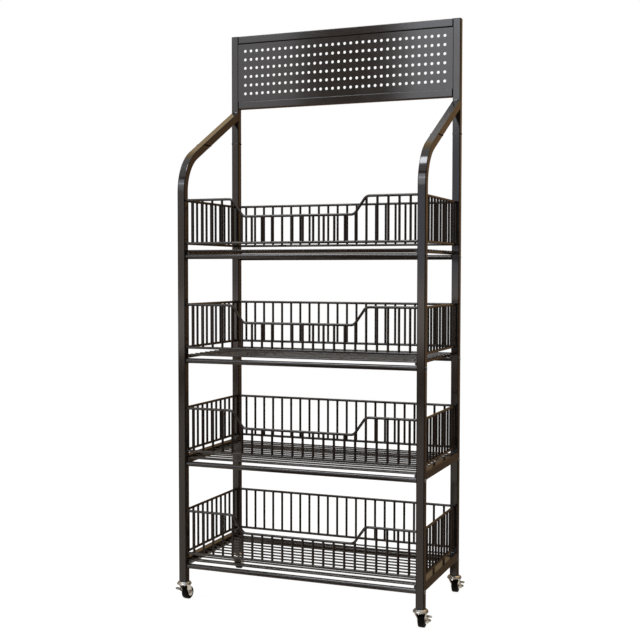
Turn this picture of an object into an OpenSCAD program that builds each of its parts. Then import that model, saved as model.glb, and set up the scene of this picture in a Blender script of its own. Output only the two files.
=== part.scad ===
// Four-tier supermarket shelving unit: square-tube uprights, round rails, wire decks and
// guards, a perforated header and four braked swivel casters.
// X runs across the rack, Y from the front to the back, Z up from the floor.

/* [Overall] */
// Width over the uprights
rack_w = 800; // [600:10:1200]
// Depth over the uprights
rack_d = 409; // [350:1:600]

/* [Tiers] */
// Height of the lowest round rail's centre above the floor
lowest_rail_h = 109; // [98:0.5:160]
// Vertical distance from one tier to the next
tier_pitch = 324.5; // [240:0.5:450]

/* [Square tube] */
// Outside width of the square tube
tube_side = 25; // [22:1:32]
// Wall of the square tube
tube_wall = 1.5; // [1:0.1:2.5]
// Outside corner radius of the square tube
tube_corner_r = 2.5; // [1.5:0.5:5]
// Radius of the front upright's bend, at the tube's centreline
bend_r = 137.5; // [100:0.5:170]
// Rise of the sloping tube above the horizontal, in degrees
brace_slope = 28; // [20:1:40]
// Height of the bend's start above the top tier's upper guard wire
bend_clear = 25.5; // [10:0.5:80]
// Height of the level cut in the sloping tube above the end of the bend
front_seam_rise = 38; // [30:1:60]
// Drop of the rear upright's joint below the sloping tube's foot
rear_seam_drop = 76; // [60:1:120]
// Gap left at each tube joint
seam_gap = 0.4; // [0.2:0.1:1]
// Length of the spigot inside each tube joint
spigot_l = 70; // [50:2:90]
// Clearance round a spigot in its tube
spigot_gap = 0.3; // [0.1:0.1:0.6]

/* [Rails and rungs] */
// Outside diameter of the round rails
rail_d = 16; // [14:0.5:20]
// Wall of the round rails
rail_wall = 1.5; // [1:0.1:2.5]
// Length of the solid plug in each end of a round rail
rail_plug_l = 22; // [18:1:40]
// Height of the side rungs' centre above the rail's centre
rung_rise = 13; // [12.5:0.5:20]
// Number of lower tiers that have side rungs
rung_tiers = 2; // [1:1:4]
// Diameter of the bolts that hold the round rails
bolt_d = 6; // [5:0.5:8]
// Depth that a bolt reaches into its rail
bolt_reach = 15; // [10:1:17]
// Diameter of the bolt heads
bolt_head_d = 12; // [10:0.5:14]
// Height of the bolt heads
bolt_head_h = 3; // [2:0.5:5]
// Radial clearance of a bolt in its holes
bolt_gap = 0.2; // [0.1:0.05:0.4]

/* [Decks] */
// Diameter of the deck's long wires
deck_wire_d = 5; // [3:0.5:6]
// Diameter of the bar along each end of a deck
deck_bar_d = 8; // [6:0.5:10]
// Distance between the deck's long wires
deck_pitch = 33; // [20:0.5:50]
// Clearance between a deck and the rails and tubes round it
deck_gap = 0.3; // [0.1:0.1:1]

/* [Guards] */
// Diameter of the wires that frame a guard
guard_wire_d = 8; // [8:0.5:10]
// Diameter of the upright bars of a guard
guard_bar_d = 7.5; // [4:0.5:7.5]
// Height of a guard's lower wire above the rail's centre
guard_low = 41; // [34:0.5:60]
// Height of a guard's upper wire above the rail's centre
guard_high = 174.5; // [150:0.5:200]
// Distance between bars in the front and back guards
guard_pitch = 33.5; // [25:0.5:60]
// Distance between bars in the side guards
side_pitch = 32.5; // [25:0.5:60]
// Depth of the dip in a front guard
dip_depth = 53.5; // [30:0.5:75]
// Width of the dip between its lower corners
dip_w = 360; // [200:0.5:420]
// Sideways run of each slanting side of the dip
dip_run = 37.5; // [25:0.5:60]
// Bend radius of the wire at the dip's corners, at its centreline
dip_bend_r = 20; // [12:0.5:24]
// Swell of the wire's diameter in the dip's bends
bend_swell = 0.1; // [0.1:0.05:0.5]

/* [Header] */
// Height of the header over both its rails
header_h = 245; // [180:1:400]
// Height of the header above the sloping tube's foot
brace_drop = 12; // [4:1:60]
// Thickness of the perforated sheet
panel_t = 1.2; // [0.8:0.1:2]
// Depth of the flange folded back along the sheet's edges
panel_flange = 14; // [8:1:20]
// Diameter of the holes in the sheet
hole_d = 9.6; // [6:0.1:14]
// Distance between columns of holes
hole_pitch_x = 21.13; // [18:0.01:40]
// Distance between rows of holes
hole_pitch_z = 28.6; // [18:0.1:40]
// Least distance from a hole's centre to the sheet's edge
hole_margin = 25; // [20:1:40]
// Thickness of the cap on each rear upright
cap_t = 2; // [1:0.5:4]

/* [Casters] */
// Height of a caster from the floor to the upright's foot
caster_h = 59.5; // [57:0.5:62]
// Wheel diameter
wheel_d = 40; // [36:0.5:42]
// Wheel width
wheel_w = 19; // [14:0.5:20]
// Distance from the swivel axis back to the wheel's axle
trail = 16.5; // [12:0.5:18]
// Diameter of the fork's round top
dish_d = 46; // [44:0.5:50]
// Thickness of the fork's sheet metal
fork_t = 2; // [1.5:0.1:2.5]
// Diameter of the axle
axle_d = 6; // [5:0.5:8]
// Diameter of the stem
stem_d = 10; // [8:0.5:11]
// Length of the stem in the upright
stem_l = 26; // [20:1:28]
// Turn of the front left caster about its stem, in degrees
front_left_turn = -10; // [-45:5:45]
// Turn of the front right caster about its stem, in degrees
front_right_turn = 0; // [-45:5:45]
// Turn of the rear left caster about its stem, in degrees
rear_left_turn = 0; // [-45:5:45]
// Turn of the rear right caster about its stem, in degrees
rear_right_turn = 0; // [-45:5:45]
// Length of the brake rocker's longer pedal, measured from its plate
brake_pedal_l = 15; // [10:0.5:20]
// Turn of the front left brake rocker, which is pressed down, in degrees
front_left_press = 20; // [0:5:20]

/* [Hidden] */
$fn = 48;
TIERS = 4;

// Colours of the finishes
COAT = "#3a3836";
ZINC = "#c9c7c2";
BLACK = "#161414";

// One overrun serves every cut
cut_over = 1;

// Places of the uprights and the clear spans between them
post_x = rack_w / 2 - tube_side / 2;
post_y = rack_d / 2 - tube_side / 2;
clear_w = rack_w - 2 * tube_side;
clear_d = rack_d - 2 * tube_side;
tube_bore = tube_side - 2 * tube_wall;
bore_corner_r = max(tube_corner_r - tube_wall, tube_wall / 4);
function rail_h(tier) = lowest_rail_h + (tier - 1) * tier_pitch;

// Plastic inserts in the uprights' feet and tops
insert_flange_t = 3;
insert_gap = 0.2;
insert_end_t = 6;
insert_l = stem_l + insert_end_t;
insert_corner_r = tube_corner_r + 1;
cap_plug_l = 12;

// Sloping tube: the bend's centre and the places along the slope, in the Y-Z plane
bend_y = -post_y + bend_r;
bend_z = rail_h(TIERS) + guard_high + bend_clear;
bend_turn = 90 - brace_slope;
bend_end_y = bend_y - bend_r * sin(brace_slope);
bend_end_z = bend_z + bend_r * cos(brace_slope);
post_face_y = post_y - tube_side / 2;
function slope_z(y) = bend_end_z + (y - bend_end_y) * tan(brace_slope);
slope_half_z = tube_side / 2 / cos(brace_slope);
brace_top_z = slope_z(post_face_y) + slope_half_z;
brace_foot_z = slope_z(post_face_y) - slope_half_z;
front_seam_z = bend_end_z + front_seam_rise;
front_seam_y = bend_end_y + front_seam_rise / tan(brace_slope);
rear_seam_z = brace_foot_z - rear_seam_drop;
slope_run = (post_face_y - bend_end_y) / cos(brace_slope) + tube_side;
header_z = brace_top_z + brace_drop;
rack_h = header_z + header_h;
post_foot_z = caster_h + insert_flange_t;

// Deck: the bars lie on the round rails and the wires lie on the bars
weld_sink = 0.6;
deck_bar_rise = rail_d / 2 + deck_gap + deck_bar_d / 2;
deck_wire_rise = deck_bar_rise + deck_bar_d / 2 + deck_wire_d / 2 - weld_sink;
deck_bar_x = clear_w / 2 - deck_gap - deck_bar_d / 2;
deck_edge_inset = 1.5;
deck_edge_y = post_y - deck_edge_inset;
deck_end_over = deck_wire_d / 2 + weld_sink;

// Header sheet
panel_w = clear_w;
panel_h = header_h - 2 * tube_side;
panel_mid_z = header_z + header_h / 2;
hole_cols = floor((panel_w - 2 * hole_margin) / hole_pitch_x) + 1;
hole_rows = floor((panel_h - 2 * hole_margin) / hole_pitch_z) + 1;

// Caster: heights above the floor, and sizes about the swivel axis
swivel_gap = 0.3;
race_h = 4;
race_top_share = 0.74;
race_foot_share = 0.9;
dish_h = 4.6;
dish_round = 2.6;
dish_top_z = caster_h - race_h - swivel_gap;
dish_foot_z = dish_top_z - dish_h;
neck_d = stem_d * 0.8;
rivet_d = stem_d * 1.5;
rivet_h = 2.4;
swivel_play = 0.3;
wheel_side_gap = 1;
leg_in_x = wheel_w / 2 + wheel_side_gap;
leg_out_x = leg_in_x + fork_t;
boss_r = 9.5;
axle_head_d = axle_d * 1.8;
axle_head_h = 2;
running_gap = 0.08;
brake_t = 1.6;
brake_gap = 0.3;
brake_stand_off = 4;
brake_collar_wall = 2;
brake_hub_r = 7.5;
brake_arm_w = 8;
brake_arm_angles = [126, -5];
brake_arm_reach_shares = [2.8, 1.2];
brake_pedal_shares = [1, 0.42];
wheel_shoulder_r = 3;
wheel_recess = 1.5;
wheel_hub_share = 0.42;
wheel_rim_share = 0.7;

// The origin is under the middle of the outline: the trailing rear wheels reach
// further back than the front casters' round tops reach forward
function back_reach(turn) =
    (trail + wheel_d / 2 - wheel_shoulder_r) * cos(turn)
    + (wheel_w / 2 - wheel_shoulder_r) * abs(sin(turn)) + wheel_shoulder_r;
frame_shift_y = (max(back_reach(rear_left_turn), back_reach(rear_right_turn)) - dish_d / 2) / 2;

// Outline of a square with rounded corners
module rounded_square(side, corner_r) {
    square([side, side - 2 * corner_r], center = true);
    square([side - 2 * corner_r, side], center = true);
    for (sx = [-1, 1], sy = [-1, 1])
        translate([sx * (side / 2 - corner_r), sy * (side / 2 - corner_r)])
            circle(r = corner_r);
}

// Section of the square tube
module tube_section() {
    difference() {
        rounded_square(tube_side, tube_corner_r);
        rounded_square(tube_bore, bore_corner_r);
    }
}

// Round bar of diameter d along X, centred on the origin
module bar_x(d, length) {
    rotate([0, 90, 0])
        cylinder(d = d, h = length, center = true);
}

// Round bar of diameter d along Y, centred on the origin
module bar_y(d, length) {
    rotate([90, 0, 0])
        cylinder(d = d, h = length, center = true);
}

// Puts a part of the rack in the frame whose origin is under the outline's middle
module in_frame() {
    translate([0, -frame_shift_y, 0])
        children();
}

// Bolt holes through both side walls of an upright, one at each tier
module rail_bolt_holes() {
    for (tier = [1 : TIERS])
        translate([0, 0, rail_h(tier)])
            bar_x(bolt_d + 2 * bolt_gap, tube_side + 2 * cut_over);
}

// Straight square tube standing between two heights
module standing_tube(foot_z, top_z) {
    translate([0, 0, foot_z])
        linear_extrude(height = top_z - foot_z)
            tube_section();
}

// Sloping tube from the end of the bend to past the rear upright's front face
module sloping_tube() {
    translate([0, bend_end_y, bend_end_z])
        rotate([-bend_turn, 0, 0])
            linear_extrude(height = slope_run)
                tube_section();
}

// Bend between the upright and the sloping tube
module tube_bend() {
    translate([0, bend_y, bend_z])
        rotate([90, 0, -90])
            rotate_extrude(angle = bend_turn, $fn = 96)
                translate([bend_r, 0])
                    tube_section();
}

// Box that spans the tube in X and runs from one height to another
module height_band(foot_z, top_z, front_y, back_y) {
    translate([-tube_side, front_y, foot_z])
        cube([2 * tube_side, back_y - front_y, top_z - foot_z]);
}

module front_upright(side) {
    color(COAT)
        in_frame()
            translate([side * post_x, 0, 0]) {
                difference() {
                    translate([0, -post_y, 0])
                        standing_tube(post_foot_z, bend_z);
                    translate([0, -post_y, 0])
                        rail_bolt_holes();
                }
                tube_bend();
                intersection() {
                    sloping_tube();
                    height_band(bend_z, front_seam_z - seam_gap / 2, -rack_d / 2, rack_d / 2);
                }
            }
}

module brace(side) {
    color(COAT)
        in_frame()
            translate([side * post_x, 0, 0])
                intersection() {
                    sloping_tube();
                    height_band(front_seam_z + seam_gap / 2, header_z + tube_side,
                        -rack_d / 2, post_face_y);
                }
}

module rear_upright(side) {
    color(COAT)
        in_frame()
            translate([side * post_x, post_y, 0])
                difference() {
                    standing_tube(post_foot_z, rear_seam_z - seam_gap / 2);
                    rail_bolt_holes();
                }
}

module rear_post_top(side) {
    color(COAT)
        in_frame()
            translate([side * post_x, post_y, 0])
                standing_tube(rear_seam_z + seam_gap / 2, rack_h - cap_t);
}

// Short sleeve inside a joint of the square tube
module spigot() {
    spigot_side = tube_bore - 2 * spigot_gap;
    translate([0, 0, -spigot_l / 2])
        linear_extrude(height = spigot_l)
            difference() {
                rounded_square(spigot_side, bore_corner_r);
                rounded_square(spigot_side - 2 * tube_wall, bore_corner_r);
            }
}

module tube_spigots() {
    color(ZINC)
        in_frame()
            for (side = [-1, 1]) {
                translate([side * post_x, post_y, rear_seam_z])
                    spigot();
                translate([side * post_x, front_seam_y, front_seam_z])
                    rotate([-bend_turn, 0, 0])
                        spigot();
            }
}

// Square tube along X between the rear uprights, given the height of its centre
module header_rail(centre_z) {
    color(COAT)
        in_frame()
            translate([-clear_w / 2, post_y, centre_z])
                rotate([90, 0, 90])
                    linear_extrude(height = clear_w)
                        tube_section();
}

module header_top_rail() {
    header_rail(rack_h - tube_side / 2);
}

module header_bottom_rail() {
    header_rail(header_z + tube_side / 2);
}

// Perforated sheet with a flange folded back all round, between the header's rails
module header_panel() {
    panel_y = post_face_y + panel_t;
    color(COAT)
        in_frame()
            translate([0, panel_y, panel_mid_z])
                difference() {
                    translate([-panel_w / 2, 0, -panel_h / 2])
                        cube([panel_w, panel_flange, panel_h]);
                    translate([-panel_w / 2 + panel_t, panel_t, -panel_h / 2 + panel_t])
                        cube([panel_w - 2 * panel_t, panel_flange, panel_h - 2 * panel_t]);
                    for (col = [0 : hole_cols - 1], row = [0 : hole_rows - 1])
                        translate([(col - (hole_cols - 1) / 2) * hole_pitch_x, panel_t / 2,
                            (row - (hole_rows - 1) / 2) * hole_pitch_z])
                            bar_y(hole_d, panel_t + 2 * cut_over, $fn = 24);
                }
}

// Square plug with a flange as wide as the tube, flange downwards from the origin
module tube_plug(flange_t, plug_l) {
    translate([0, 0, -flange_t])
        linear_extrude(height = flange_t)
            rounded_square(tube_side, insert_corner_r);
    linear_extrude(height = plug_l)
        rounded_square(tube_bore - 2 * insert_gap, bore_corner_r);
}

module post_caps() {
    color(BLACK)
        in_frame()
            for (side = [-1, 1])
                translate([side * post_x, post_y, rack_h - cap_t])
                    rotate([180, 0, 0])
                        tube_plug(cap_t, cap_plug_l);
}

// Insert in the foot of each upright, with the socket for the caster's stem
module foot_inserts() {
    color(BLACK)
        in_frame()
            for (sx = [-1, 1], sy = [-1, 1])
                translate([sx * post_x, sy * post_y, post_foot_z])
                    difference() {
                        tube_plug(insert_flange_t, insert_l);
                        translate([0, 0, -insert_flange_t - cut_over])
                            cylinder(d = stem_d + 2 * insert_gap,
                                h = stem_l + swivel_gap + cut_over);
                    }
}

// Square rungs from front to back at both sides of the lower tiers
module lower_rungs() {
    color(COAT)
        in_frame()
            for (side = [-1, 1], tier = [1 : rung_tiers])
                translate([side * post_x, clear_d / 2, rail_h(tier) + rung_rise])
                    rotate([90, 0, 0])
                        linear_extrude(height = clear_d)
                            tube_section();
}

// Round rail between two uprights, with a drilled plug in each end
module round_rail(tier, side) {
    color(COAT)
        in_frame()
            translate([0, side * post_y, rail_h(tier)])
                difference() {
                    bar_x(rail_d, clear_w);
                    bar_x(rail_d - 2 * rail_wall, clear_w - 2 * rail_plug_l);
                    for (end = [-1, 1])
                        translate([end * clear_w / 2, 0, 0])
                            bar_x(bolt_d + 2 * bolt_gap, 2 * (bolt_reach + bolt_gap));
                }
}

// Button-headed bolt along X, its head's underside at the origin and its shank towards -X
module button_bolt() {
    socket_d = bolt_head_d * 0.42;
    shank_l = tube_side + bolt_reach;
    rotate([0, 90, 0])
        difference() {
            union() {
                rotate_extrude()
                    intersection() {
                        translate([0, bolt_head_h - bolt_head_d])
                            circle(r = bolt_head_d, $fn = 96);
                        square([bolt_head_d / 2, bolt_head_h]);
                    }
                translate([0, 0, -shank_l])
                    cylinder(d = bolt_d, h = shank_l + weld_sink);
            }
            translate([0, 0, bolt_head_h / 3])
                cylinder(d = socket_d, h = bolt_head_h, $fn = 6);
        }
}

module rail_bolts() {
    color(ZINC)
        in_frame()
            for (sx = [-1, 1], sy = [-1, 1], tier = [1 : TIERS])
                translate([sx * rack_w / 2, sy * post_y, rail_h(tier)])
                    rotate([0, 0, sx > 0 ? 0 : 180])
                        button_bolt();
}

// Welded wire mat: long wires at a constant pitch from the back edge, one more wire
// along the front edge, and a bar under both their ends
module shelf_deck(tier) {
    wire_count = floor((2 * deck_edge_y - deck_wire_d) / deck_pitch) + 1;
    wire_ys = concat([for (i = [0 : wire_count - 1]) deck_edge_y - i * deck_pitch],
        [-deck_edge_y]);
    color(COAT)
        in_frame()
            translate([0, 0, rail_h(tier)]) {
                for (y = wire_ys)
                    translate([0, y, deck_wire_rise])
                        bar_x(deck_wire_d, 2 * deck_bar_x + deck_bar_d / 2, $fn = 24);
                for (side = [-1, 1])
                    translate([side * deck_bar_x, 0, deck_bar_rise])
                        bar_y(deck_bar_d, 2 * (deck_edge_y + deck_end_over), $fn = 32);
            }
}

// Places of evenly spaced bars that fill a clear span
function bar_places(span, pitch) =
    let (count = floor(span / pitch))
    [for (i = [0 : count - 1]) (i - (count - 1) / 2) * pitch];

// Straight-topped guard across a clear span along X, its middle over the origin
module plain_guard(span, pitch) {
    for (z = [guard_low, guard_high])
        translate([0, 0, z])
            bar_x(guard_wire_d, span);
    for (x = bar_places(span, pitch))
        translate([x, 0, guard_low])
            cylinder(d = guard_bar_d, h = guard_high - guard_low);
}

// Dip of a front guard: slope of its sides and length taken by each corner's bend
dip_angle = atan(dip_depth / dip_run);
dip_tangent = dip_bend_r * tan(dip_angle / 2);
dip_low_x = dip_w / 2;
dip_high_x = dip_low_x + dip_run;
dip_slant = sqrt(pow(dip_run, 2) + pow(dip_depth, 2)) - 2 * dip_tangent;
function arc_drop(run) = dip_bend_r - sqrt(pow(dip_bend_r, 2) - pow(run, 2));
function dip_z(x) =
    let (
        low_in = abs(x) - dip_low_x + dip_tangent,
        high_in = dip_high_x + dip_tangent - abs(x),
        bend_run = dip_bend_r * sin(dip_angle)
    )
    low_in <= 0 ? guard_high - dip_depth
    : low_in < bend_run ? guard_high - dip_depth + arc_drop(low_in)
    : high_in <= 0 ? guard_high
    : high_in < bend_run ? guard_high - arc_drop(high_in)
    : guard_high - dip_depth * (dip_high_x - abs(x)) / dip_run;

// Corner of the dip: an arc of wire from straight ahead along +X, turning upwards
module dip_corner() {
    translate([0, 0, dip_bend_r])
        rotate([90, 0, 0])
            rotate([0, 0, -90])
                rotate_extrude(angle = dip_angle, $fn = 64)
                    translate([dip_bend_r, 0])
                        circle(d = guard_wire_d + bend_swell);
}

// Upper wire of a front guard: its straight runs reach a little into the bends
module dipped_wire() {
    low_z = guard_high - dip_depth;
    low_l = dip_low_x - dip_tangent;
    high_l = clear_w / 2 - dip_high_x - dip_tangent + weld_sink;
    translate([0, 0, low_z])
        bar_x(guard_wire_d, 2 * (low_l + weld_sink));
    for (side = [0, 1])
        mirror([side, 0, 0]) {
            translate([low_l, 0, low_z])
                dip_corner();
            translate([(dip_low_x + dip_high_x) / 2, 0, guard_high - dip_depth / 2])
                rotate([0, -dip_angle, 0])
                    bar_x(guard_wire_d, dip_slant + 2 * weld_sink);
            translate([dip_high_x + dip_tangent, 0, guard_high])
                rotate([0, 180, 0])
                    dip_corner();
            translate([clear_w / 2 - high_l / 2, 0, guard_high])
                bar_x(guard_wire_d, high_l);
        }
}

module front_guard(tier) {
    color(COAT)
        in_frame()
            translate([0, -post_y, rail_h(tier)]) {
                translate([0, 0, guard_low])
                    bar_x(guard_wire_d, clear_w);
                dipped_wire();
                for (x = bar_places(clear_w, guard_pitch))
                    translate([x, 0, guard_low])
                        cylinder(d = guard_bar_d, h = dip_z(x) - guard_low);
            }
}

module back_guard(tier) {
    color(COAT)
        in_frame()
            translate([0, post_y, rail_h(tier)])
                plain_guard(clear_w, guard_pitch);
}

module side_guard(tier, side) {
    color(COAT)
        in_frame()
            translate([side * post_x, 0, rail_h(tier)])
                rotate([0, 0, 90])
                    plain_guard(clear_d, side_pitch);
}

// Places a caster part at a corner; parts are drawn about the swivel axis with the
// wheel trailing towards +Y and the brake on the +X side, which is mirrored on the left
module at_corner(sx, sy, turn) {
    in_frame()
        translate([sx * post_x, sy * post_y, 0])
            rotate([0, 0, turn])
                mirror([sx > 0 ? 0 : 1, 0, 0])
                    children();
}

// Stem, upper race, neck through the fork and the rivet head under it
module caster_mount(sx, sy) {
    race_foot_z = caster_h - race_h;
    neck_foot_z = dish_top_z - fork_t - swivel_play;
    color(ZINC)
        at_corner(sx, sy, 0) {
            rotate_extrude()
                polygon([
                    [0, race_foot_z],
                    [dish_d / 2 * race_foot_share, race_foot_z],
                    [dish_d / 2 * race_foot_share, race_foot_z + race_h / 3],
                    [dish_d / 2 * race_top_share, caster_h],
                    [0, caster_h]
                ]);
            translate([0, 0, caster_h - weld_sink])
                cylinder(d = stem_d, h = stem_l - insert_gap + weld_sink - insert_flange_t);
            translate([0, 0, neck_foot_z - weld_sink])
                cylinder(d = neck_d, h = race_foot_z + weld_sink - neck_foot_z + weld_sink);
            translate([0, 0, neck_foot_z - rivet_h])
                cylinder(d = rivet_d, h = rivet_h);
        }
}

// Half section of the fork's round top: a shallow bowl turned upside down
module dish_profile(outer_r, height, round_r) {
    square([outer_r - round_r, height]);
    square([outer_r, height - round_r]);
    translate([outer_r - round_r, height - round_r])
        circle(r = round_r);
}

// Point where a line from an outside point touches a circle, on the chosen side
function touch_point(from, centre, r, side) =
    let (
        gap = from - centre,
        reach = norm(gap),
        heading = atan2(gap[1], gap[0]) + side * acos(r / reach)
    )
    centre + r * [cos(heading), sin(heading)];

// Y at a given height on the straight line through two points of the Y-Z plane
function line_y(low, high, z) =
    low[0] + (high[0] - low[0]) * (z - low[1]) / (high[1] - low[1]);

// Fork leg: round at the axle, upright up to its bend and then leaning out to the top's rim
leg_top_in_share = 0.78;
leg_top_half_share = 0.33;
leg_bend_share = 1.2;
leg_inset_share = 0.25;
leg_root_share = 0.5;
axle_at = [trail, wheel_d / 2];
leg_front_at = [-dish_d / 2 * leg_top_half_share, dish_foot_z];
leg_back_at = [dish_d / 2 * leg_top_half_share, dish_foot_z];
leg_front_touch = touch_point(leg_front_at, axle_at, boss_r, 1);
leg_back_touch = touch_point(leg_back_at, axle_at, boss_r, -1);
leg_bend_x = leg_in_x + fork_t * leg_inset_share;
leg_bend_z = wheel_d / 2 + boss_r * leg_bend_share;
leg_foot_z = leg_bend_z - fork_t / 2;
leg_root_z = dish_top_z - fork_t * leg_root_share;
leg_lean = atan((dish_d / 2 * leg_top_in_share - leg_bend_x) / (dish_foot_z - leg_bend_z));
function up_sheet(z) = (z - leg_bend_z) / cos(leg_lean);

// Upright part of a leg, in the Y-Z plane
module leg_at_axle() {
    polygon([
        [line_y(leg_front_touch, leg_front_at, leg_bend_z), leg_bend_z],
        leg_front_touch,
        axle_at,
        leg_back_touch,
        [line_y(leg_back_touch, leg_back_at, leg_bend_z), leg_bend_z]
    ]);
    translate(axle_at)
        circle(r = boss_r);
}

// Leaning part of a leg, drawn in its own sheet from the bend upwards
module leg_at_rim() {
    polygon([
        [line_y(leg_front_touch, leg_front_at, leg_foot_z), up_sheet(leg_foot_z)],
        [leg_front_at[0], up_sheet(dish_foot_z)],
        [leg_front_at[0], up_sheet(leg_root_z)],
        [leg_back_at[0], up_sheet(leg_root_z)],
        [leg_back_at[0], up_sheet(dish_foot_z)],
        [line_y(leg_back_touch, leg_back_at, leg_foot_z), up_sheet(leg_foot_z)]
    ]);
}

// Takes a flat shape drawn in Y-Z and gives it a thickness along +X from the origin
module plate_x(thickness) {
    rotate([90, 0, 90])
        linear_extrude(height = thickness)
            children();
}

module caster_fork(sx, sy, turn) {
    axle_in = leg_out_x + axle_head_h;
    axle_out = leg_out_x + brake_stand_off + brake_t + brake_gap + axle_head_h;
    color(ZINC)
        at_corner(sx, sy, turn) {
            difference() {
                translate([0, 0, dish_foot_z])
                    rotate_extrude()
                        difference() {
                            dish_profile(dish_d / 2, dish_h, dish_round);
                            dish_profile(dish_d / 2 - fork_t, dish_h - fork_t,
                                dish_round - fork_t);
                            square([neck_d / 2 + running_gap, dish_h]);
                        }
                translate([0, 0, dish_top_z - fork_t - cut_over])
                    cylinder(d = neck_d + 2 * running_gap, h = fork_t + 2 * cut_over);
            }
            for (side = [0, 1])
                mirror([side, 0, 0]) {
                    translate([leg_in_x, 0, 0])
                        plate_x(fork_t)
                            leg_at_axle();
                    translate([leg_bend_x, 0, leg_bend_z])
                        rotate([0, leg_lean, 0])
                            plate_x(fork_t)
                                leg_at_rim();
                }
            translate([(axle_out - axle_in) / 2, trail, wheel_d / 2])
                bar_x(axle_d, axle_out + axle_in - axle_head_h);
            for (end = [[-axle_in + axle_head_h / 2, 32], [axle_out - axle_head_h / 2, 6]])
                translate([end[0], trail, wheel_d / 2])
                    bar_x(axle_head_d, axle_head_h, $fn = end[1]);
        }
}

// Tyre with rounded shoulders and a hub recessed on both sides
module caster_wheel(sx, sy, turn) {
    wheel_r = wheel_d / 2;
    color(BLACK)
        at_corner(sx, sy, turn)
            translate([0, trail, wheel_r])
                rotate([0, 90, 0])
                    rotate_extrude($fn = 64)
                        difference() {
                            union() {
                                translate([0, -wheel_w / 2 + wheel_shoulder_r])
                                    square([wheel_r, wheel_w - 2 * wheel_shoulder_r]);
                                translate([0, -wheel_w / 2])
                                    square([wheel_r - wheel_shoulder_r, wheel_w]);
                                for (end = [-1, 1])
                                    translate([wheel_r - wheel_shoulder_r,
                                        end * (wheel_w / 2 - wheel_shoulder_r)])
                                        circle(r = wheel_shoulder_r);
                            }
                            for (end = [0, 1])
                                mirror([0, end])
                                    translate([wheel_r * wheel_hub_share,
                                        wheel_w / 2 - wheel_recess])
                                        square([wheel_r * (wheel_rim_share - wheel_hub_share),
                                            wheel_recess + cut_over]);
                            translate([0, -wheel_w])
                                square([axle_d / 2 + running_gap, 2 * wheel_w]);
                        }
}

// Rocker that turns on the axle clear of the fork leg, with an outward pedal on each arm;
// pressing its upper pedal turns it
module caster_brake(sx, sy, turn, press = 0) {
    bore_r = axle_d / 2 + running_gap;
    color(ZINC)
        at_corner(sx, sy, turn)
            translate([leg_out_x, trail, wheel_d / 2])
                rotate([press, 0, 0]) {
                    translate([brake_gap, 0, 0])
                        plate_x(brake_stand_off)
                            difference() {
                                circle(r = bore_r + brake_collar_wall);
                                circle(r = bore_r);
                            }
                    translate([brake_stand_off, 0, 0]) {
                        plate_x(brake_t)
                            difference() {
                                rocker_outline();
                                circle(r = bore_r);
                            }
                        for (arm = [0 : len(brake_arm_angles) - 1])
                            rotate([brake_arm_angles[arm], 0, 0])
                                translate([0, brake_hub_r * brake_arm_reach_shares[arm], 0])
                                    brake_pedal(brake_pedal_l * brake_pedal_shares[arm]);
                    }
                }
}

// Hub of the brake rocker with its two arms, in the Y-Z plane
module rocker_outline() {
    circle(r = brake_hub_r);
    for (arm = [0 : len(brake_arm_angles) - 1])
        rotate(brake_arm_angles[arm])
            translate([0, -brake_arm_w / 2])
                square([brake_hub_r * brake_arm_reach_shares[arm] + brake_t, brake_arm_w]);
}

// Pedal of the brake rocker: a tongue that stands out along +X and ends in a half round
module brake_pedal(length) {
    straight_l = brake_t + length - brake_arm_w / 2;
    rotate([-90, 0, 0])
        linear_extrude(height = brake_t) {
            translate([0, -brake_arm_w / 2])
                square([straight_l, brake_arm_w]);
            translate([straight_l, 0])
                circle(d = brake_arm_w);
        }
}

front_upright(-1);  // front_upright_left
front_upright(1);  // front_upright_right
brace(-1);  // brace_left
brace(1);  // brace_right
rear_upright(-1);  // rear_upright_left
rear_upright(1);  // rear_upright_right
rear_post_top(-1);  // rear_post_top_left
rear_post_top(1);  // rear_post_top_right
tube_spigots();
header_top_rail();
header_bottom_rail();
header_panel();
post_caps();
foot_inserts();
lower_rungs();
rail_bolts();
round_rail(1, -1);  // front_rail_1
round_rail(2, -1);  // front_rail_2
round_rail(3, -1);  // front_rail_3
round_rail(4, -1);  // front_rail_4
round_rail(1, 1);  // back_rail_1
round_rail(2, 1);  // back_rail_2
round_rail(3, 1);  // back_rail_3
round_rail(4, 1);  // back_rail_4
shelf_deck(1);  // shelf_deck_1
shelf_deck(2);  // shelf_deck_2
shelf_deck(3);  // shelf_deck_3
shelf_deck(4);  // shelf_deck_4
front_guard(1);  // front_guard_1
front_guard(2);  // front_guard_2
front_guard(3);  // front_guard_3
front_guard(4);  // front_guard_4
back_guard(1);  // back_guard_1
back_guard(2);  // back_guard_2
back_guard(3);  // back_guard_3
back_guard(4);  // back_guard_4
side_guard(1, -1);  // left_guard_1
side_guard(2, -1);  // left_guard_2
side_guard(3, -1);  // left_guard_3
side_guard(4, -1);  // left_guard_4
side_guard(1, 1);  // right_guard_1
side_guard(2, 1);  // right_guard_2
side_guard(3, 1);  // right_guard_3
side_guard(4, 1);  // right_guard_4
caster_mount(-1, -1);  // caster_mount_front_left
caster_fork(-1, -1, front_left_turn);  // caster_fork_front_left
caster_wheel(-1, -1, front_left_turn);  // caster_wheel_front_left
caster_brake(-1, -1, front_left_turn, front_left_press);  // caster_brake_front_left
caster_mount(1, -1);  // caster_mount_front_right
caster_fork(1, -1, front_right_turn);  // caster_fork_front_right
caster_wheel(1, -1, front_right_turn);  // caster_wheel_front_right
caster_brake(1, -1, front_right_turn);  // caster_brake_front_right
caster_mount(-1, 1);  // caster_mount_rear_left
caster_fork(-1, 1, rear_left_turn);  // caster_fork_rear_left
caster_wheel(-1, 1, rear_left_turn);  // caster_wheel_rear_left
caster_brake(-1, 1, rear_left_turn);  // caster_brake_rear_left
caster_mount(1, 1);  // caster_mount_rear_right
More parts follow.
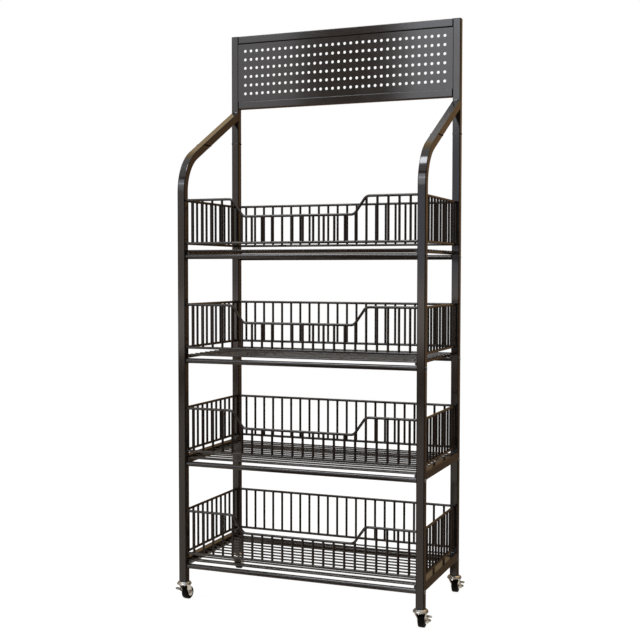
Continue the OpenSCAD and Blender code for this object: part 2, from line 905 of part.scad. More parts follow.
caster_fork(1, 1, rear_right_turn);  // caster_fork_rear_right
caster_wheel(1, 1, rear_right_turn);  // caster_wheel_rear_right
caster_brake(1, 1, rear_right_turn);  // caster_brake_rear_right
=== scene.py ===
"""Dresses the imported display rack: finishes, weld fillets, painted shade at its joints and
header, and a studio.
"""
import logging
import math
from dataclasses import dataclass, field
from enum import Enum

import bmesh
import bpy
from mathutils import Matrix, Vector


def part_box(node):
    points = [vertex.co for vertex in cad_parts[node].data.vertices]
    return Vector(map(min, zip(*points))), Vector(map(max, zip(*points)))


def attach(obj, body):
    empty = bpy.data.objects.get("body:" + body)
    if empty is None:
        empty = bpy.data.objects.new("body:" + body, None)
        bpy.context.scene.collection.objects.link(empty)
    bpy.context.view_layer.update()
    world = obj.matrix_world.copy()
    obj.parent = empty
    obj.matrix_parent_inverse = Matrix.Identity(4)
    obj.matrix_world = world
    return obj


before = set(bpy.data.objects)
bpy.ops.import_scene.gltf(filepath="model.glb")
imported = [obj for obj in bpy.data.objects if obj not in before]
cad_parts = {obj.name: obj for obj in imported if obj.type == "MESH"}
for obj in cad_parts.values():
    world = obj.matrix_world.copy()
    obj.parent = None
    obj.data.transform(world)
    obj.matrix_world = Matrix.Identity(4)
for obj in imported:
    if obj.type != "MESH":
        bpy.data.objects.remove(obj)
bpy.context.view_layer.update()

LOG = logging.getLogger("rack")
MM = 0.001
# Faces that meet at more than this many degrees keep a sharp edge between them
SHARP_DEG = 35
# Two points that lie closer than this along an axis count as level, in metres
LEVEL = 1e-6
# The numbers of the X and Y axes in a vector
X, Y = 0, 1
# The rack's two sides, as the CAD nodes write them
SIDES = ("left", "right")

# The detail of every finish's two noise patterns
PATCH_NOISE = {"Detail": 4.0, "Roughness": 0.6}
GRAIN_NOISE = {"Detail": 2.0, "Roughness": 0.5}
# The noise values where a finish is smoothest and dullest
SMOOTH_NOISE, DULL_NOISE = 0.3, 0.7


def linear(hex_colour: str) -> tuple[float, float, float, float]:
    """Turns an sRGB hex colour into a linear RGBA one.

    Args:
        hex_colour: Six hex digits, with or without a leading hash.

    Returns:
        The colour's linear red, green and blue, with an alpha of 1.
    """
    digits = hex_colour.lstrip("#")
    shares = [int(digits[i:i + 2], 16) / 255 for i in (0, 2, 4)]
    curve = [s / 12.92 if s <= 0.04045 else ((s + 0.055) / 1.055) ** 2.4 for s in shares]
    return (curve[0], curve[1], curve[2], 1.0)


def blank_tree(owner: bpy.types.ID) -> bpy.types.NodeTree:
    """Gives a material or a world an empty node tree.

    Args:
        owner: The material or the world.

    Returns:
        Its node tree.
    """
    owner.use_nodes = True
    owner.node_tree.nodes.clear()
    return owner.node_tree


def add_node(tree: bpy.types.NodeTree, kind: str,
             links: dict[str | int, bpy.types.NodeSocket] | None = None,
             values: dict[str | int, object] | None = None,
             **settings: object) -> bpy.types.Node:
    """Adds one node with its settings, socket values and incoming links.

    Args:
        tree: The node tree that gets the node.
        kind: The node's bl_idname.
        links: Input socket name or number to the output socket that feeds it.
        values: Input socket name or number to its constant value.
        settings: Attributes of the node itself.

    Returns:
        The new node.
    """
    node = tree.nodes.new(kind)
    for name, value in settings.items():
        setattr(node, name, value)
    for key, value in (values or {}).items():
        node.inputs[key].default_value = value
    for key, socket in (links or {}).items():
        tree.links.new(socket, node.inputs[key])
    return node


def place(axis: Vector, centre: Vector) -> Matrix:
    """Gives the matrix that turns local +Z to an axis and moves the origin to a centre."""
    return Matrix.Translation(centre) @ axis.to_track_quat("Z", "Y").to_matrix().to_4x4()


def add_block(mesh: bmesh.types.BMesh, middle: Vector, size: tuple[float, float, float],
              lean: float = 0.0) -> None:
    """Adds a thin block, which may lean along Y.

    Args:
        mesh: The bmesh that gets the block.
        middle: The block's middle, in metres.
        size: Its extent along X, Y and Z, in metres.
        lean: How far it moves along Y for each metre that it rises.
    """
    slant = Matrix.Identity(4)
    slant[1][2] = lean
    bmesh.ops.create_cube(mesh, size=1.0,
                          matrix=Matrix.Translation(middle) @ slant @ Matrix.Diagonal((*size, 1)))


def as_object(mesh: bmesh.types.BMesh, name: str,
              material: bpy.types.Material) -> bpy.types.Object:
    """Makes an object of a bmesh and links it to the scene.

    Args:
        mesh: The shape, in metres and in the part's frame. It is freed here.
        name: The object's name.
        material: Its only material.

    Returns:
        The new object, at the origin.
    """
    data = bpy.data.meshes.new(name)
    mesh.to_mesh(data)
    mesh.free()
    data.materials.append(material)
    made = bpy.data.objects.new(name, data)
    bpy.context.scene.collection.objects.link(made)
    return made


def as_piece(mesh: bmesh.types.BMesh, name: str, material: bpy.types.Material,
             body: str) -> bpy.types.Object:
    """Makes a finished piece of a bmesh and lets it ride on a body.

    Args:
        mesh: The shape, in metres and in the part's frame. It is freed here.
        name: The piece's name.
        material: The piece's only material.
        body: The CAD body that carries it.

    Returns:
        The new object, at the origin.
    """
    bmesh.ops.recalc_face_normals(mesh, faces=mesh.faces)
    piece = as_object(mesh, name, material)
    piece.data.shade_smooth()
    piece.data.set_sharp_from_angle(angle=math.radians(SHARP_DEG))
    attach(piece, body)
    LOG.info("piece %s on %s: %d faces", name, body, len(piece.data.polygons))
    return piece


def dress(node: str, material: bpy.types.Material) -> None:
    """Gives a CAD node its finish.

    Args:
        node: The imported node's name.
        material: The finish.
    """
    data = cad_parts[node].data
    data.materials.clear()
    data.materials.append(material)
    LOG.info("node %s wears %s", node, material.name)


@dataclass(frozen=True)
class Finish:
    """A finish whose colour, gloss and bump vary over the surface.

    Attributes:
        name: The material's plain name.
        light: Colour of the lighter patches.
        dark: Colour of the darker patches.
        metallic: 1 for bare metal, 0 for coats and plastics.
        rough_low: Roughness where the surface is smoothest.
        rough_high: Roughness where it is dullest.
        patch_mm: Size of a colour patch.
        grain_mm: Size of the surface's grain.
        grain_depth_mm: Height of the grain.
        ior: Index of refraction of a coat or plastic.
    """

    name: str
    light: str
    dark: str
    metallic: float
    rough_low: float
    rough_high: float
    patch_mm: float
    grain_mm: float
    grain_depth_mm: float
    ior: float = 1.5

    def material(self) -> bpy.types.Material:
        """Builds the node material on Object coordinates.

        Returns:
            The material, ready to be put on a mesh.
        """
        made = bpy.data.materials.new(self.name)
        tree = blank_tree(made)
        place_on = add_node(tree, "ShaderNodeTexCoord").outputs["Object"]
        patches = add_node(
            tree, "ShaderNodeTexNoise", {"Vector": place_on},
            {"Scale": 1 / (self.patch_mm * MM), **PATCH_NOISE})
        tint = add_node(
            tree, "ShaderNodeMix", {"Factor": patches.outputs["Fac"]},
            {"A": linear(self.dark), "B": linear(self.light)}, data_type="RGBA")
        gloss = add_node(
            tree, "ShaderNodeMapRange", {"Value": patches.outputs["Fac"]},
            {"From Min": SMOOTH_NOISE, "From Max": DULL_NOISE, "To Min": self.rough_low,
             "To Max": self.rough_high})
        grain = add_node(
            tree, "ShaderNodeTexNoise", {"Vector": place_on},
            {"Scale": 1 / (self.grain_mm * MM), **GRAIN_NOISE})
        bump = add_node(
            tree, "ShaderNodeBump", {"Height": grain.outputs["Fac"]},
            {"Strength": 1.0, "Distance": self.grain_depth_mm * MM})
        shader = add_node(
            tree, "ShaderNodeBsdfPrincipled",
            {"Base Color": tint.outputs["Result"], "Roughness": gloss.outputs["Result"],
             "Normal": bump.outputs["Normal"]},
            {"Metallic": self.metallic, "IOR": self.ior})
        add_node(tree, "ShaderNodeOutputMaterial", {"Surface": shader.outputs["BSDF"]})
        return made


# Black powder coat, baked: warm near black, glossy enough to mirror the windows and walls,
# with a faint orange peel, 2.4 mm from wave to wave
POWDER_COAT = Finish(
    "Black powder coat, baked, glossy", "#1c1612", "#17120f", metallic=0.0, rough_low=0.09,
    rough_high=0.13, patch_mm=60.0, grain_mm=2.4, grain_depth_mm=0.0015)
# The open joint between two tube ends: a dull edge of bare steel, darkened with painted shade of
# the hollow, which mirrors little of the room. The header's painted shade and shadow lines wear
# it too
PAINTED_SHADE = Finish(
    "Bare steel edge, dull, with painted shade of an open joint", "#120a06", "#0b0604", metallic=0.0, rough_low=0.75,
    rough_high=0.9, patch_mm=12.0, grain_mm=1.2, grain_depth_mm=0.02, ior=1.1)
# Bright zinc plating on pressed steel: cool and mirror-like, with faint yellow clouding and
# the milky film of its passivation. Its fine grain is drawn 1.2 mm wide so that it shows
ZINC = Finish(
    "Bright zinc plating, passivated", "#c9cac9", "#b5afa3", metallic=0.86, rough_low=0.16,
    rough_high=0.3, patch_mm=9.0, grain_mm=1.2, grain_depth_mm=0.006)
# Wheel moulded from hard rubber: near black and dull, with a dusty skin that mirrors little.
# The skin's grain is drawn 0.9 mm wide so that it shows
WHEEL_RUBBER = Finish(
    "Hard black rubber, moulded", "#0f0b0a", "#0a0706", metallic=0.0, rough_low=0.5,
    rough_high=0.65, patch_mm=7.0, grain_mm=0.9, grain_depth_mm=0.03, ior=1.15)
# Insert and cap moulded from polyethylene: black, with a waxy sheen. The mould's grain is
# drawn 1 mm wide so that it shows
INSERT_PLASTIC = Finish(
    "Black polyethylene, moulded", "#1a1818", "#131212", metallic=0.0, rough_low=0.36,
    rough_high=0.48, patch_mm=12.0, grain_mm=1.0, grain_depth_mm=0.02)


class Corner(Enum):
    """The four corners, as the CAD nodes write them."""

    FRONT_LEFT = "front_left"
    FRONT_RIGHT = "front_right"
    REAR_LEFT = "rear_left"
    REAR_RIGHT = "rear_right"


@dataclass
class WeldBeads:
    """Small weld fillets, all powder-coated with the frame they sit on.

    Attributes:
        flare: How far a fillet stands out from the wire, in millimetres.
        rise: How far a fillet climbs along the wire, in millimetres.
        sides: Number of sides of a round fillet.
        tip: How far a round fillet stands out at its thin end, in millimetres.
        straight_sides: Number of sides of a straight fillet.
        thickness: Radius of a straight fillet, as a share of the flare.
        rounding: Rounding of a straight fillet's ends, as a share of the flare.
    """

    flare: float = 2.0
    rise: float = 2.6
    sides: int = 12
    tip: float = 0.1
    straight_sides: int = 8
    thickness: float = 0.8
    rounding: float = 0.3

    def round_wire(self, mesh: bmesh.types.BMesh, foot: Vector, axis: Vector,
                   radius: float) -> None:
        """Adds a conical fillet where a round wire butts on a flat face.

        Args:
            mesh: The bmesh that gets the fillet.
            foot: Where the wire's axis meets the face, in metres.
            axis: Unit vector from the face along the wire.
            radius: The wire's radius, in millimetres.
        """
        middle = foot + axis * (self.rise * MM / 2)
        bmesh.ops.create_cone(
            mesh, cap_ends=True, segments=self.sides, radius1=(radius + self.flare) * MM,
            radius2=(radius + self.tip) * MM, depth=self.rise * MM, matrix=place(axis, middle))

    def straight(self, mesh: bmesh.types.BMesh, middle: Vector, axis: Vector,
                 length: float) -> None:
        """Adds a straight fillet in the corner between two tubes.

        Args:
            mesh: The bmesh that gets the fillet.
            middle: The fillet's middle, on the corner line, in metres.
            axis: Unit vector along the corner.
            length: The fillet's length, in millimetres.
        """
        radius = self.flare * MM * self.thickness
        made = bmesh.ops.create_cone(
            mesh, cap_ends=True, segments=self.straight_sides, radius1=radius,
            radius2=radius, depth=length * MM, matrix=place(axis, middle))
        edges = dict.fromkeys(e for v in made["verts"] for e in v.link_edges)
        rims = [e for e in edges if abs((e.verts[0].co - e.verts[1].co).dot(axis)) < LEVEL]
        bmesh.ops.bevel(mesh, geom=rims, offset=self.flare * MM * self.rounding, segments=2,
                        profile=0.5, affect="EDGES", material=-1)


def corner_of(node: str, x: int, y: int, z: int) -> Vector:
    """Gives one corner of a node's box.

    Args:
        node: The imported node's name.
        x: 0 for the lowest x, 1 for the highest.
        y: 0 for the lowest y, 1 for the highest.
        z: 0 for the lowest z, 1 for the highest.

    Returns:
        The corner, in metres.
    """
    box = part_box(node)
    return Vector((box[x][0], box[y][1], box[z][2]))


@dataclass
class RackFrame:
    """The welded end frames and the header.

    Attributes:
        coat: The powder coat.
        zinc: The zinc plating of bolts and spigots.
        plastic: The plastic of the inserts and caps.
        painted_shade: The painted shade of the open tube joints and of the header's shadow lines.
        beads: The weld fillets' sizes.
        tube: Side of the square tube, in millimetres.
        weld_share: Length of a weld fillet, as a share of the tube's side.
        shade_height: How tall a joint's strip of painted shade stands, in millimetres.
        shade_line_width: Width of the painted shade lines round the header's rails, in
            millimetres.
        shade_line_inset: How much shorter than the tube's side a rail's painted shade line is, in
            millimetres.
        shade_line_depth: Depth of the painted shade lines at the rails' ends, in millimetres.
        line_depth: Depth of the painted shade laid on one flat face, in millimetres.
        proud: How far a painted shade line stands out from its face, in millimetres.
    """

    coat: bpy.types.Material
    zinc: bpy.types.Material
    plastic: bpy.types.Material
    painted_shade: bpy.types.Material
    beads: WeldBeads = field(default_factory=WeldBeads)
    tube: float = 25.0
    weld_share: float = 0.76
    shade_height: float = 4.0
    shade_line_width: float = 2.2
    shade_line_inset: float = 1.0
    shade_line_depth: float = 1.0
    line_depth: float = 0.5
    proud: float = 0.2

    def build(self) -> None:
        """Dresses the frame's nodes and adds its weld fillets and its strips of painted shade."""
        for side in SIDES:
            for part in ("front_upright", "brace", "rear_upright", "rear_post_top"):
                dress(f"{part}_{side}", self.coat)
        for node in ("header_top_rail", "header_bottom_rail", "header_panel", "lower_rungs"):
            dress(node, self.coat)
        for node in ("tube_spigots", "rail_bolts"):
            dress(node, self.zinc)
        for node in ("post_caps", "foot_inserts"):
            dress(node, self.plastic)
        self.weld_header()
        self.weld_rungs()
        self.paint_joint_shade()
        self.paint_header_shade()

    def weld_header(self) -> None:
        """Adds the fillets where the header's rails and the sloping tubes meet the posts."""
        mesh = bmesh.new()
        along_y, along_x = Vector((0, 1, 0)), Vector((1, 0, 0))
        length, half_tube = self.tube * self.weld_share, self.tube * MM / 2
        for node, levels in (("header_top_rail", (0,)), ("header_bottom_rail", (0, 1))):
            for x in (0, 1):
                for z in levels:
                    spot = corner_of(node, x, 0, z) + along_y * half_tube
                    self.beads.straight(mesh, spot, along_y, length)
        for side in SIDES:
            spot = corner_of(f"brace_{side}", 0, 1, 1) + along_x * half_tube
            self.beads.straight(mesh, spot, along_x, length)
        as_piece(mesh, "header_welds", self.coat, "rack")

    def weld_rungs(self) -> None:
        """Adds the fillets above and below the rungs' ends at the lower tiers."""
        mesh = bmesh.new()
        along_x = Vector((1, 0, 0))
        low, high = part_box("lower_rungs")
        side, middle_x = self.tube * MM, high[0] - self.tube * MM / 2
        for x in (-middle_x, middle_x):
            for y in (low[1], high[1]):
                for z in (low[2], low[2] + side, high[2] - side, high[2]):
                    self.beads.straight(mesh, Vector((x, y, z)), along_x,
                                        self.tube * self.weld_share)
        as_piece(mesh, "rung_welds", self.coat, "rack")

    def paint_joint_shade(self) -> None:
        """Adds a dark strip of painted shade at each tube joint on the tubes' side faces."""
        mesh = bmesh.new()
        joined = (("front_upright", "brace"), ("rear_upright", "rear_post_top"))
        for side in SIDES:
            for lower, upper in joined:
                foot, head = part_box(f"{lower}_{side}"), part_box(f"{upper}_{side}")
                level = (foot[1][2] + head[0][2]) / 2
                front, back = head[0][1], foot[1][1]
                lean = 0.0
                if upper == "brace":
                    lean = (head[1][1] - back) / (head[1][2] - head[0][2])
                for x in (foot[0][0], foot[1][0]):
                    add_block(mesh, Vector((x, (front + back) / 2, level)),
                              (self.line_depth * MM, back - front, self.shade_height * MM), lean)
        as_piece(mesh, "painted_joint_shade", self.painted_shade, "rack")

    def paint_header_shade(self) -> None:
        """Adds dark strips of painted shade at the ends of the header's rails, and of painted
        shadow along the sheet's top under the top rail.
        """
        mesh = bmesh.new()
        width, proud = self.shade_line_width * MM, self.proud * MM
        depth, height = self.shade_line_depth * MM, (self.tube - self.shade_line_inset) * MM
        for node in ("header_top_rail", "header_bottom_rail"):
            low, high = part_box(node)
            for x in (low[0] + width / 2, high[0] - width / 2):
                middle = Vector((x, low[1] + depth / 2 - proud, (low[2] + high[2]) / 2))
                add_block(mesh, middle, (width, depth, height))
        low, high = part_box("header_panel")
        depth = self.line_depth * MM
        middle = Vector(((low[0] + high[0]) / 2, low[1] + depth / 2 - proud,
                         high[2] - width / 2))
        add_block(mesh, middle, (high[0] - low[0], depth, width))
        as_piece(mesh, "painted_header_shade", self.painted_shade, "rack")


@dataclass
class Tier:
    """One tier: two round rails, the wire deck and four guards.

    Attributes:
        number: 1 for the lowest tier to 4 for the highest.
        coat: The powder coat.
        beads: The weld fillets' sizes.
        guard_wire: Diameter of a guard's frame wire, in millimetres.
    """

    number: int
    coat: bpy.types.Material
    beads: WeldBeads = field(default_factory=lambda: WeldBeads(flare=1.6, rise=2.2))
    guard_wire: float = 8.0

    def build(self) -> None:
        """Dresses the tier's nodes and adds the guards' weld fillets."""
        for part in ("front_rail", "back_rail", "shelf_deck", "front_guard", "back_guard",
                     "left_guard", "right_guard"):
            dress(f"{part}_{self.number}", self.coat)
        self.weld_guards()

    def weld_guards(self) -> None:
        """Adds a fillet at each end of each guard's two frame wires."""
        mesh = bmesh.new()
        radius = self.guard_wire / 2
        for part, along in (("front_guard", X), ("back_guard", X), ("left_guard", Y),
                            ("right_guard", Y)):
            low, high = (Vector(c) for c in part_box(f"{part}_{self.number}"))
            across = Y if along == X else X
            for z in (low.z + radius * MM, high.z - radius * MM):
                for end, inward in ((low[along], 1), (high[along], -1)):
                    foot, axis = Vector((0, 0, z)), Vector((0, 0, 0))
                    foot[along], foot[across] = end, (low[across] + high[across]) / 2
                    axis[along] = inward
                    self.beads.round_wire(mesh, foot, axis, radius)
        as_piece(mesh, f"guard_welds_{self.number}", self.coat, "rack")


@dataclass
class Caster:
    """One swivel caster with its brake.

    Attributes:
        corner: The corner that it stands at.
        zinc: The plating of its pressed parts.
        rubber: The wheel's moulding.
    """

    corner: Corner
    zinc: bpy.types.Material
    rubber: bpy.types.Material

    def build(self) -> None:
        """Dresses the caster's four nodes."""
        for part in ("mount", "fork", "brake"):
            dress(f"caster_{part}_{self.corner.value}", self.zinc)
        dress(f"caster_wheel_{self.corner.value}", self.rubber)


def cloth(name: str, mesh: bmesh.types.BMesh, colour: str, glow: float) -> None:
    """Hangs a studio cloth that only polished surfaces see.

    Args:
        name: The cloth's plain name.
        mesh: Its shape, in metres; it is freed here.
        colour: Its colour, as sRGB hex.
        glow: Its brightness, where 1 is white.
    """
    made = bpy.data.materials.new(f"Studio cloth, {name}")
    tree = blank_tree(made)
    shine = add_node(tree, "ShaderNodeEmission", None,
                     {"Color": linear(colour), "Strength": glow})
    add_node(tree, "ShaderNodeOutputMaterial", {"Surface": shine.outputs[0]})
    hung = as_object(mesh, name, made)
    hung.visible_camera = hung.visible_diffuse = hung.visible_shadow = False
    hung.visible_transmission = hung.visible_volume_scatter = False


@dataclass(frozen=True)
class Mat:
    """A level cloth that only polished surfaces see.

    Attributes:
        name: The cloth's plain name.
        outline: Its corners, in metres along X and Y.
        height: Its height over the floor, in metres.
        colour: Its colour, as sRGB hex.
        glow: Its brightness, where 1 is white.
    """

    name: str
    outline: tuple[tuple[float, float], ...]
    height: float
    colour: str
    glow: float = 1.0

    def build(self) -> None:
        """Spreads the cloth."""
        mesh = bmesh.new()
        mesh.faces.new([mesh.verts.new((x, y, self.height)) for x, y in self.outline])
        cloth(self.name, mesh, self.colour, self.glow)


@dataclass(frozen=True)
class Panel:
    """An upright curved panel that only polished surfaces see, as in a studio's dim room.

    Attributes:
        name: The panel's plain name.
        start: Azimuth of its right edge about the rack, in degrees from +X.
        turn: How far it runs on to its left edge, in degrees.
        foot: Height of its lower edge, in metres.
        top: Height of its upper edge, in metres.
        colour: Its colour, as sRGB hex.
        glow: Its brightness, where 1 is white.
        radius: Its distance from the rack, in metres.
        step: How far it turns from one facet to the next, in degrees.
        fewest: The least number of its facets.
    """

    name: str
    start: float
    turn: float
    foot: float
    top: float
    colour: str
    glow: float = 1.0
    radius: float = 7.0
    step: float = 5.0
    fewest: int = 4

    def build(self) -> None:
        """Spins the panel about the rack and hides it from all but glossy rays."""
        mesh = bmesh.new()
        angle = math.radians(self.start)
        edge = [mesh.verts.new((self.radius * math.cos(angle), self.radius * math.sin(angle), z))
                for z in (self.foot, self.top)]
        seam = mesh.edges.new(edge)
        bmesh.ops.spin(mesh, geom=[*edge, seam], cent=(0, 0, 0), axis=(0, 0, 1),
                       angle=math.radians(self.turn), use_merge=False,
                       steps=max(self.fewest, round(self.turn / self.step)))
        cloth(self.name, mesh, self.colour, self.glow)


# The round room's wall runs from under the floor up to the ceiling, in metres
ROOM_RADIUS, ROOM_FOOT, CEILING = 7.4, -1.0, 6.5
# Half the side of the square floor, and the mats' height over it, in metres
HALF_FLOOR, MAT_HEIGHT = 5.2, 0.001
# Heights of the window sill, of the panes' two joints and of the windows' top, in metres
SILL, LOW_PANE, HIGH_PANE, WINDOW_TOP = 1.62, 2.5, 3.4, 5.2
# Colours that several parts of the room share
DARK, DIM, PALE = "#4a3f39", "#6b5643", "#fff2ea"


def wall(name: str, start: float, turn: float, colour: str, foot: float = ROOM_FOOT,
         top: float = CEILING) -> Panel:
    """Gives a panel on the room's round wall.

    Args:
        name: The panel's plain name.
        start: Azimuth of its right edge about the rack, in degrees from +X.
        turn: How far it runs on to its left edge, in degrees.
        colour: Its colour, as sRGB hex.
        foot: Height of its lower edge, in metres.
        top: Height of its upper edge, in metres.

    Returns:
        The panel.
    """
    return Panel(name, start, turn, foot, top, colour, radius=ROOM_RADIUS)


# The dim room that the glossy coat mirrors. A pale floor lies under it all and shows between
# the dim mats, and the windows, lamp tube and pale wall stand out to the front left
ROOM = (
    Mat("pale warm floor",
        ((-HALF_FLOOR, -HALF_FLOOR), (HALF_FLOOR, -HALF_FLOOR),
         (HALF_FLOOR, HALF_FLOOR), (-HALF_FLOOR, HALF_FLOOR)), MAT_HEIGHT / 2, "#fcf0e3"),
    # Painted shadow: the rack's shadow on the floor under the decks, laid as a dim mat that
    # polished surfaces mirror
    Mat("floor under the decks, with painted shadow",
        ((-0.32, -0.2), (0.32, -0.2), (0.32, 0.3), (-0.32, 0.3)), MAT_HEIGHT, DIM),
    Mat("dim floor behind",
        ((-HALF_FLOOR, 0.3), (HALF_FLOOR, 0.3), (HALF_FLOOR, HALF_FLOOR),
         (-HALF_FLOOR, HALF_FLOOR)), MAT_HEIGHT, DIM),
    Mat("dim floor right",
        ((0.42, -0.1), (0.55, -0.32), (HALF_FLOOR, -0.32), (HALF_FLOOR, 0.3), (0.42, 0.3)),
        MAT_HEIGHT, DIM),
    Mat("dim floor left",
        ((-HALF_FLOOR, -HALF_FLOOR), (-3.6, -HALF_FLOOR), (-0.8, -0.6), (-0.8, 0.3),
         (-HALF_FLOOR, 0.3)), MAT_HEIGHT, DARK),
    Mat("dim floor before the decks",
        ((-2.8, -HALF_FLOOR), (-1.2, -HALF_FLOOR), (0.25, -0.3), (-0.25, -0.3)),
        MAT_HEIGHT, DARK),
    Mat("dim floor before the camera",
        ((-0.7, -HALF_FLOOR), (HALF_FLOOR, -HALF_FLOOR), (HALF_FLOOR, -0.32), (0.5, -0.32)),
        MAT_HEIGHT, DARK),
    Mat("tan ceiling",
        ((-ROOM_RADIUS, 0.6), (ROOM_RADIUS, 0.6), (ROOM_RADIUS, ROOM_RADIUS),
         (-ROOM_RADIUS, ROOM_RADIUS)), CEILING, "#ffe0ae", 1.15),
    wall("room left", 132.0, 96.0, DARK),
    wall("room front left", 228.0, 34.0, "#94857b"),
    wall("room behind the camera", 262.0, 45.0, DARK),
    wall("room right", 307.0, 113.0, "#57504b"),
    wall("room back right, lower", 60.0, 33.0, "#8c7055", top=1.4),
    wall("room back right, upper", 60.0, 33.0, "#a5815b", foot=1.4),
    wall("room back, lower", 93.0, 39.0, "#6e5847", top=1.9),
    wall("room back, upper", 93.0, 39.0, "#bca17c", foot=1.9),
    Panel("pale wall, low left", 232.0, 16.0, 0.3, 0.8, PALE, 2.1),
    Panel("pale wall, low right", 248.0, 14.0, 0.3, 0.95, PALE, 2.1),
    Panel("pale wall, left", 230.0, 18.0, 0.8, SILL, "#fff4ea", 0.95),
    Panel("pale wall, right", 248.0, 14.0, 0.95, SILL, "#e4eeff", 1.4),
    Panel("left window, lower", 228.0, 17.7, SILL, LOW_PANE, "#fbf6f2", 1.1),
    Panel("left window", 228.0, 17.7, LOW_PANE, HIGH_PANE, "#f6f6f8", 2.1),
    Panel("left window, upper", 228.0, 17.7, HIGH_PANE, WINDOW_TOP, "#e6f0ff", 3.2),
    Panel("curtain between the windows", 245.7, 8.1, SILL, WINDOW_TOP, "#a89a91"),
    Panel("right window, lower", 253.8, 8.2, SILL, LOW_PANE, "#e8f0ff", 1.35),
    Panel("right window", 253.8, 8.2, LOW_PANE, HIGH_PANE, "#f8faff", 3.5),
    Panel("right window, upper", 253.8, 8.2, HIGH_PANE, WINDOW_TOP, "#eef4ff", 4.6),
    Panel("lamp tube", 226.0, 36.0, 3.82, 3.98, "#ffffff", 12.0, 6.8),
)


@dataclass(frozen=True)
class SoftBox:
    """A rectangular soft box.

    Attributes:
        name: The lamp's name.
        spot: Where it hangs, in metres.
        target: What it points at, in metres.
        size: Its width and height, in metres.
        power: Its power, in watts.
        mirrored: Whether polished surfaces mirror it.
        colour: Its colour, as sRGB hex.
    """

    name: str
    spot: tuple[float, float, float]
    target: tuple[float, float, float]
    size: tuple[float, float]
    power: float
    mirrored: bool
    colour: str = "#f4f8ff"

    def build(self) -> None:
        """Hangs the lamp and points it."""
        data = bpy.data.lights.new(self.name, "AREA")
        data.shape = "RECTANGLE"
        data.size, data.size_y = self.size
        data.energy = self.power
        data.color = linear(self.colour)[:3]
        lamp = bpy.data.objects.new(self.name, data)
        lamp.visible_glossy = self.mirrored
        bpy.context.scene.collection.objects.link(lamp)
        aim = Vector(self.target) - Vector(self.spot)
        lamp.matrix_world = (Matrix.Translation(Vector(self.spot))
                             @ aim.to_track_quat("-Z", "Y").to_matrix().to_4x4())


# A soft box overhead and the fill from the front left
LAMPS = (
    SoftBox("overhead", (-0.97, -1.52, 4.0), (-0.97, -1.52, 0.0), (1.55, 0.95), 72.0, True),
    SoftBox("fill", (-2.6, -3.6, 2.6), (0.0, 0.0, 0.9), (1.4, 1.4), 30.0, False),
)


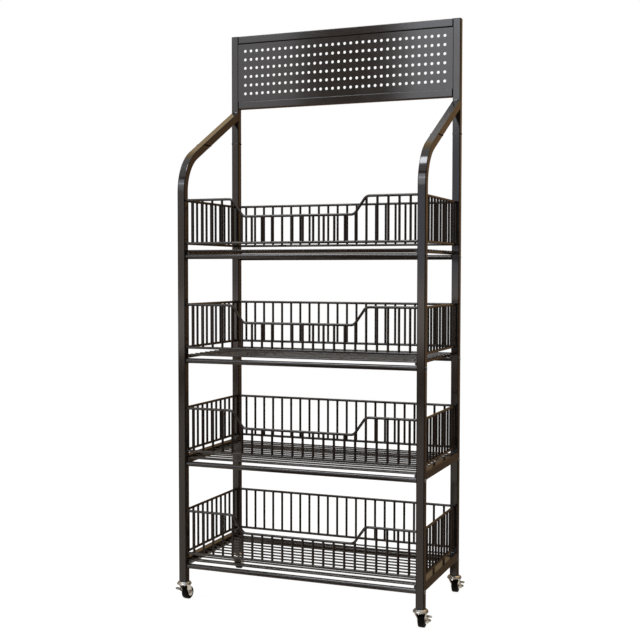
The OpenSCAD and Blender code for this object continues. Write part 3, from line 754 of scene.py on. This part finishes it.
@dataclass
class Studio:
    """A plain white studio with soft lamps and the photograph's camera.

    Attributes:
        eye: The camera's place, in metres.
        azimuth: Turn of the camera about Z from looking along +Y, in degrees.
        pitch: How far the camera looks down, in degrees.
        roll: The camera's roll, in degrees.
        lens: Focal length, in millimetres.
        sensor: Width of the camera's sensor, in millimetres.
        view_end: How far the camera sees, in metres.
        ambient: Brightness of the sky as a light, where 1 is white.
        floor_radius: Radius of the floor, in metres.
        floor_sides: Number of the floor's sides.
        floor_roughness: Roughness of the floor's paper.
        floor_glow: The floor's own brightness to the camera, where 1 is white.
        floor_share: Share of that glow in what the camera sees; the rest keeps the shadow.
    """

    eye: tuple[float, float, float] = (1.27581, -3.24314, 1.03489)
    azimuth: float = 21.568
    pitch: float = 2.493
    roll: float = 0.061
    lens: float = 61.977
    sensor: float = 36.0
    view_end: float = 200.0
    ambient: float = 0.6
    floor_radius: float = 5.0
    floor_sides: int = 96
    floor_roughness: float = 0.9
    floor_glow: float = 1.12
    floor_share: float = 0.82

    def build(self) -> None:
        """Makes the camera, the world, the lamps, the dim room and the floor."""
        self.add_camera()
        self.add_world()
        for item in (*LAMPS, *ROOM):
            item.build()
        self.add_floor()
        bpy.context.scene.view_settings.view_transform = "Standard"

    def add_camera(self) -> None:
        """Adds the camera at the photograph's place and makes it the scene's own."""
        data = bpy.data.cameras.new("camera")
        data.lens = self.lens
        data.sensor_width = self.sensor
        data.clip_end = self.view_end
        camera = bpy.data.objects.new("camera", data)
        bpy.context.scene.collection.objects.link(camera)
        turn = (Matrix.Rotation(math.radians(self.azimuth), 4, "Z")
                @ Matrix.Rotation(math.radians(90 - self.pitch), 4, "X")
                @ Matrix.Rotation(math.radians(self.roll), 4, "Z"))
        camera.matrix_world = Matrix.Translation(Vector(self.eye)) @ turn
        bpy.context.scene.camera = camera

    def add_world(self) -> None:
        """Adds a sky that is white to the camera and softer as a light."""
        world = bpy.data.worlds.new("white studio")
        bpy.context.scene.world = world
        tree = blank_tree(world)
        path = add_node(tree, "ShaderNodeLightPath")
        direct = add_node(tree, "ShaderNodeMath", {0: path.outputs["Is Camera Ray"],
                          1: path.outputs["Is Transmission Ray"]}, operation="MAXIMUM")
        seen = add_node(tree, "ShaderNodeMath", {0: direct.outputs[0],
                        1: path.outputs["Is Glossy Ray"]}, operation="MAXIMUM")
        light = add_node(tree, "ShaderNodeBackground", None,
                         {"Color": linear("#ffffff"), "Strength": self.ambient})
        white = add_node(tree, "ShaderNodeBackground", None,
                         {"Color": linear("#ffffff"), "Strength": 1.0})
        mix = add_node(tree, "ShaderNodeMixShader", {0: seen.outputs[0],
                       1: light.outputs[0], 2: white.outputs[0]})
        add_node(tree, "ShaderNodeOutputWorld", {"Surface": mix.outputs[0]})

    def add_floor(self) -> None:
        """Adds the pale floor, which keeps a faint shadow and is white to the camera."""
        made = bpy.data.materials.new("Matt white studio paper")
        tree = blank_tree(made)
        path = add_node(tree, "ShaderNodeLightPath")
        paper = add_node(tree, "ShaderNodeBsdfPrincipled", None,
                         {"Base Color": linear("#f2f2f2"), "Roughness": self.floor_roughness})
        glow = add_node(tree, "ShaderNodeEmission", None,
                        {"Color": linear("#ffffff"), "Strength": self.floor_glow})
        seen = add_node(tree, "ShaderNodeMath", {0: path.outputs["Is Camera Ray"],
                        1: path.outputs["Is Glossy Ray"]}, operation="MAXIMUM")
        share = add_node(tree, "ShaderNodeMath", {0: seen.outputs[0]},
                         {1: self.floor_share}, operation="MULTIPLY")
        mix = add_node(tree, "ShaderNodeMixShader", {0: share.outputs[0],
                       1: paper.outputs[0], 2: glow.outputs[0]})
        add_node(tree, "ShaderNodeOutputMaterial", {"Surface": mix.outputs[0]})
        mesh = bmesh.new()
        bmesh.ops.create_circle(mesh, cap_ends=True, segments=self.floor_sides,
                                radius=self.floor_radius)
        as_object(mesh, "floor", made)


def main() -> None:
    logging.basicConfig(level=logging.INFO, format="%(message)s")
    coat, zinc = POWDER_COAT.material(), ZINC.material()
    rubber, plastic = WHEEL_RUBBER.material(), INSERT_PLASTIC.material()
    RackFrame(coat, zinc, plastic, PAINTED_SHADE.material()).build()
    for number in (1, 2, 3, 4):
        Tier(number, coat).build()
    for corner in Corner:
        Caster(corner, zinc, rubber).build()
    Studio().build()


if __name__ == "__main__":
    main()
